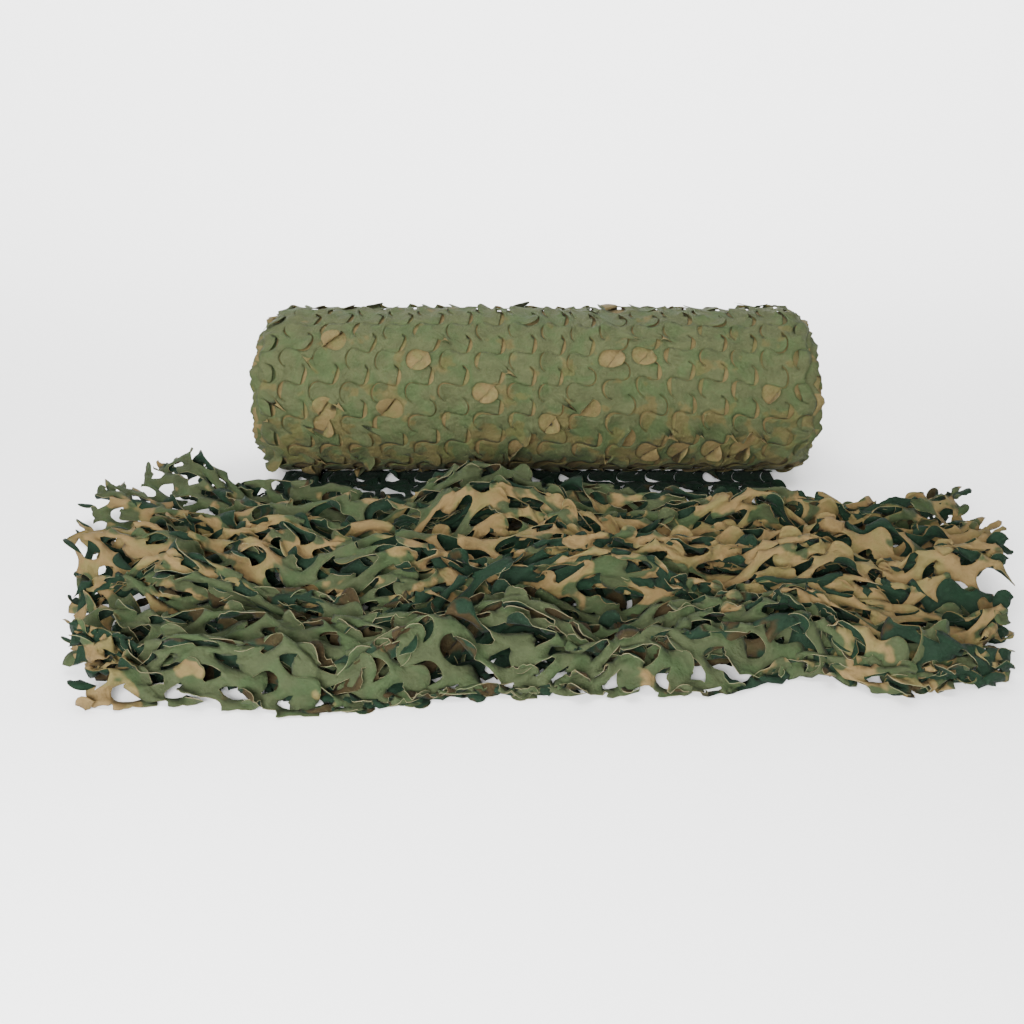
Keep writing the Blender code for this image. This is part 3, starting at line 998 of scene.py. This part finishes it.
def make_end_turns(name, side, materials):
    """The edges of the wound turns at one end: a spiral of cloth, with the lobes of its cuts."""
    rng = np.random.default_rng(51 if side > 0 else 52)
    angle, run = 0.0, 0.0
    radius = 0.016
    points, cloth = [], []
    phases = rng.uniform(0, math.tau, 8)
    turned_out = []
    while radius < ROLL_RADIUS - 0.009:
        edge = end_face_x(radius)
        cell = run / CELL_ALONG
        lobe = abs(math.sin(math.pi * cell)) ** 0.6
        ragged = math.sin(2.3 * cell + phases[0]) + math.sin(5.1 * cell + phases[1])
        ragged += 0.7 * math.sin(11.3 * cell + phases[2])
        reach = 0.017 * lobe + 0.0050 * ragged
        wobble = 0.0022 * math.sin(3 * angle + phases[3] + 8 * radius / TURN_PITCH)
        wobble += 0.0016 * math.sin(7 * angle + phases[4])
        flare = 0.006 * math.sin(3.7 * cell + phases[5])
        turned_out.append(math.sin(2.9 * cell + phases[6]) + math.sin(4.7 * cell + phases[7]) > 0.5)
        for share in (0.0, 0.5, 0.8, 1.0):
            x = edge - END_DEPTH * (1 - share) + reach * share * share
            r = radius + wobble + flare * max(share - 0.5, 0) * 2
            height = max(ROLL_AXIS - r * math.cos(angle), 0.0012)
            points.append((leaned(side * x, radius, angle), r * math.sin(angle), height))
            cloth.append((END_DEPTH * share, run))
        step = END_STEP / max(radius, 0.02)
        angle += step
        run += END_STEP
        radius += TURN_PITCH * step / math.tau
    faces = []
    for k in range(len(points) // 4 - 1):
        for column in range(3):
            a = 4 * k + column
            quad = (a, a + 1, a + 5, a + 4)
            faces.append(quad if side < 0 else quad[::-1])
    piece = add_cloth_mesh(name, points, faces, cloth, materials, 0.2)
    add_two_faces(piece)
    for k, face in enumerate(piece.data.polygons):
        face.material_index = int(turned_out[k // 3] and k % 3 > 0)
    return piece, run


CRUMPLE_SCALE = (0.115, 0.080)  # of a cell, in the waves that crumple the free end
RUCK_PITCH = 0.128  # the small folds across the free end lie about this far apart
RUCK_LEAN = 0.60  # they lean towards the roll by this share of their height
LOW = 0.012  # cloth that would come lower than this is pressed flat on what is below


def make_free_end(name, cell, tree, materials, folds, seed, crumple_sizes, spread, opening):
    web = Web(name, cell, tree, folds.rows, seed, materials)
    height_waves = Crumple(seed + 1, 22, 0.13, 0.42, 0.3)
    cell_waves = Crumple(seed + 6, 24, 0.11, 0.20, 0.0)
    side_waves = Crumple(seed + 2, 14, 0.25, 0.70, 0.0)
    along_waves = Crumple(seed + 3, 14, 0.25, 0.70, 0.0)
    fold_wander = Crumple(seed + 4, 10, 0.40, 1.00, 0.0)
    fold_size = Crumple(seed + 5, 10, 0.30, 0.80, 0.0)
    rise, sway, ruck = crumple_sizes

    def surface(u, v):
        side = (2 * u - COLUMNS) / (COLUMNS - 1)
        place = folds.place_of(np.clip(v, 0, folds.rows))
        x, y = u * CRUMPLE_SCALE[0], v * CRUMPLE_SCALE[1]
        points = folds.lie(place, side)
        at = place + folds.first_place
        loose = smoothstep(0.6, 2.6, at) * (0.25 + 0.75 * smoothstep(1.9, 3.0, at))
        loose = loose * (1 - 0.6 * smoothstep(9.2, 10.0, at))
        points[..., 0] += sway * loose * side_waves(x, y)
        points[..., 1] += sway * loose * along_waves(x, y)
        points[..., 2] += loose * (rise * height_waves(x, y) + 0.009 * cell_waves(x, y))
        run = np.interp(place, folds.places, folds.run)
        phase = math.tau * run / RUCK_PITCH + 1.6 * fold_wander(x, y)
        height = ruck * loose * (1 + 0.35 * fold_size(x, y)) * np.cos(phase)
        points[..., 2] += height
        points[..., 1] += RUCK_LEAN * height
        z = points[..., 2]
        points[..., 2] = np.where(z < LOW, LOW * np.exp(np.minimum(z - LOW, 0) / LOW), z)
        return points

    # The cloth's outer face is underneath, and most tongues curl upwards.
    angles = [-spread_angles(draw, share) for draw, share in zip(web.draws, spread)]
    at = folds.place_of(np.clip(web.v, 0, folds.rows)) + folds.first_place
    opened = smoothstep(0.8, 2.4, at)
    points = laid(web, surface, angles, opening * opened, -0.012 * opened)
    # Where the net lies flat, its tongues lie under it.
    least = np.where(np.maximum(*web.tongues) > 0.004, 0.0008, 0.0034)
    points = settled(web, points, lambda points: clear_of_roll(points, least))
    web.finish(points, tan_share(web, folds))
    return web


# Where the print has more tan, or less: name, place, side, reach along and across, and how much
TAN_PATCHES = (
    ("over the crests", 3.5, 0.10, 2.3, 0.85, 0.50),
    ("right side", 5.0, 0.85, 4.0, 0.45, 0.42),
    ("left side", 4.0, -0.88, 2.4, 0.36, 0.44),
    ("left corner", 8.0, -1.00, 1.6, 0.22, 0.72),
    ("second crest, left of the middle", 4.8, -0.45, 1.2, 0.28, -0.22),
    ("second crest, middle", 5.3, 0.05, 1.2, 0.32, 0.16),
    ("first crest, right", 3.0, 0.50, 1.1, 0.30, -0.20),
    ("dark run by the roll", 0.0, 0.00, 1.0, 0.80, -0.60),
    ("front, left of the middle", 6.5, -0.45, 1.6, 0.50, -0.25),
    ("front, right of the middle", 7.0, 0.30, 1.2, 0.60, -0.15),
)


def tan_share(web, folds):
    side = 2 * web.u / COLUMNS - 1
    place = folds.place_of(np.clip(web.v, 0, folds.rows))
    if folds.first_place == 0:
        return np.full(len(place), 0.1)
    share = np.full(len(place), 0.20)
    for _, *spot, amount in TAN_PATCHES:
        share = share + amount * bell(place, side, spot)
    return share


def make_floor():
    """A pale floor that sweeps up far around the object."""
    flat, sweep, height, around = 4.2, 3.0, 5.5, 72
    profile = [(1.5, 0.0)]
    for t in np.linspace(0, math.pi / 2, 17):
        profile.append((flat + sweep * math.sin(t), sweep * (1 - math.cos(t))))
    profile.append((flat + sweep, height))
    corners = [(0, 0, -0.001)]
    for radius, z in profile:
        for k in range(around):
            turn = math.tau * k / around
            corners.append((radius * math.cos(turn), radius * math.sin(turn) - 0.5, z - 0.001))
    faces = [(0, 1 + k, 1 + (k + 1) % around) for k in range(around)]
    faces += [(a, d, c, b) for a, b, c, d in ring_faces(len(profile), around, 1)]
    mesh = bpy.data.meshes.new("floor")
    mesh.from_pydata(corners, [], faces)
    mesh.shade_smooth()
    material = bpy.data.materials.new("pale_floor")
    material.use_nodes = True
    shader = material.node_tree.nodes["Principled BSDF"].inputs
    shader["Base Color"].default_value = (0.95, 0.95, 0.95, 1)
    shader["Roughness"].default_value = 0.9
    mesh.materials.append(material)
    add_object("floor", mesh)


def area_light(name, place, target, size, power):
    light = bpy.data.lights.new(name, "AREA")
    light.shape = "RECTANGLE"
    light.size, light.size_y = size
    light.energy = power
    obj = add_object(name, light)
    obj.location = place
    obj.rotation_euler = (Vector(target) - Vector(place)).to_track_quat("-Z", "Y").to_euler()


def make_lights_and_camera():
    world = bpy.data.worlds.new("studio")
    world.use_nodes = True
    world.node_tree.nodes["Background"].inputs["Color"].default_value = (1.0, 1.0, 1.0, 1)
    world.node_tree.nodes["Background"].inputs["Strength"].default_value = 0.25
    bpy.context.scene.world = world
    area_light("overhead", (-0.6, -1.2, 3.4), (0, -0.5, 0), (2.6, 2.0), 120)
    area_light("front", (-0.9, -4.6, 1.6), (0, -0.3, 0.15), (2.4, 1.6), 640)
    area_light("backdrop", (0, 2.5, 5.0), (0, 6.5, 0.8), (8, 3), 950)

    pitch = math.radians(24)
    camera = bpy.data.cameras.new("photo_view")
    camera.sensor_width = 36.0
    camera.lens = 36.0 * 1060 / 1024
    obj = add_object("photo_view", camera)
    obj.location = (-0.065, -2.863, 1.121)
    obj.rotation_euler = (math.pi / 2 - pitch, 0, 0)
    bpy.context.scene.camera = obj


# For each tongue type, (share, lowest, highest) angle of the tongues' tips in degrees
UNDER_SPREAD = (((0.60, -6, 12), (0.32, 15, 45), (0.08, 50, 100)),) * 2
# Tongues that point away from the hem mostly stand up, and those that point to it hang.
TOP_SPREAD = (
    ((0.30, 25, 65), (0.35, 65, 110), (0.12, 110, 150), (0.23, -60, -20)),
    ((0.45, -75, -25), (0.20, -25, 15), (0.22, 30, 80), (0.13, 80, 130)),
)
# How far the free end's layers rise, sway and ruck
UNDER_CRUMPLE = (0.004, 0.010, 0.008)
TOP_CRUMPLE = (0.012, 0.012, 0.038)


def main():
    make_lights_and_camera()
    make_floor()
    groups = (woven_cloth_group(), camouflage_print_group())
    cloths = {row[0]: cloth_material(groups, *row) for row in CLOTHS}
    outer, inner, dark = (cloths[name] for name in ("olive_face", "tan_reverse", "olive_face_in_painted_shade"))
    deep = cloths["reverse_in_painted_shade"]
    cell = make_cell(LOOSE_SPACING, False)
    rolled_cell = make_cell(ROLLED_SPACING, True)
    tree = cut_web_tree()
    skin = make_roll_skin(rolled_cell, tree, (outer, inner, outer))
    under = Folds(UNDER_LINES, (), 0.0, 23)
    top = Folds(TOP_LINES, TOP_BULGES, 2.0, 44)
    # The under layer is all in painted shade: the olive darkened below, near-black green above and
    # on its rims.
    faces = (dark, deep, deep)
    name = "free_end_under"
    lower = make_free_end(name, cell, tree, faces, under, 31, UNDER_CRUMPLE, UNDER_SPREAD, 0.20)
    # The top layers: the olive darkened with painted shade below, the print above, and a painted
    # highlight on the rims.
    faces = (dark, cloths["patched_reverse"], cloths["cut_edge_painted_highlight"])
    name = "free_end_back_folds"
    upper = make_free_end(name, cell, tree, faces, top, 41, TOP_CRUMPLE, TOP_SPREAD, 0.26)
    divide = round(top.v_of(TOP_DIVIDE))
    front = upper.divided("free_end_front_folds", divide)
    bpy.data.objects.remove(cell, do_unlink=True)
    bpy.data.objects.remove(rolled_cell, do_unlink=True)
    body = make_wound_body(inner)
    left, left_run = make_end_turns("roll_end_turns_left", -1, (outer, inner))
    right, right_run = make_end_turns("roll_end_turns_right", 1, (outer, inner))

    for piece in (skin, body, left, right):
        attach(piece, "root")
        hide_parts("roll")
    for piece in (lower.obj, upper.obj, front):
        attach(piece, "root")
        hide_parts("free_end")


main()
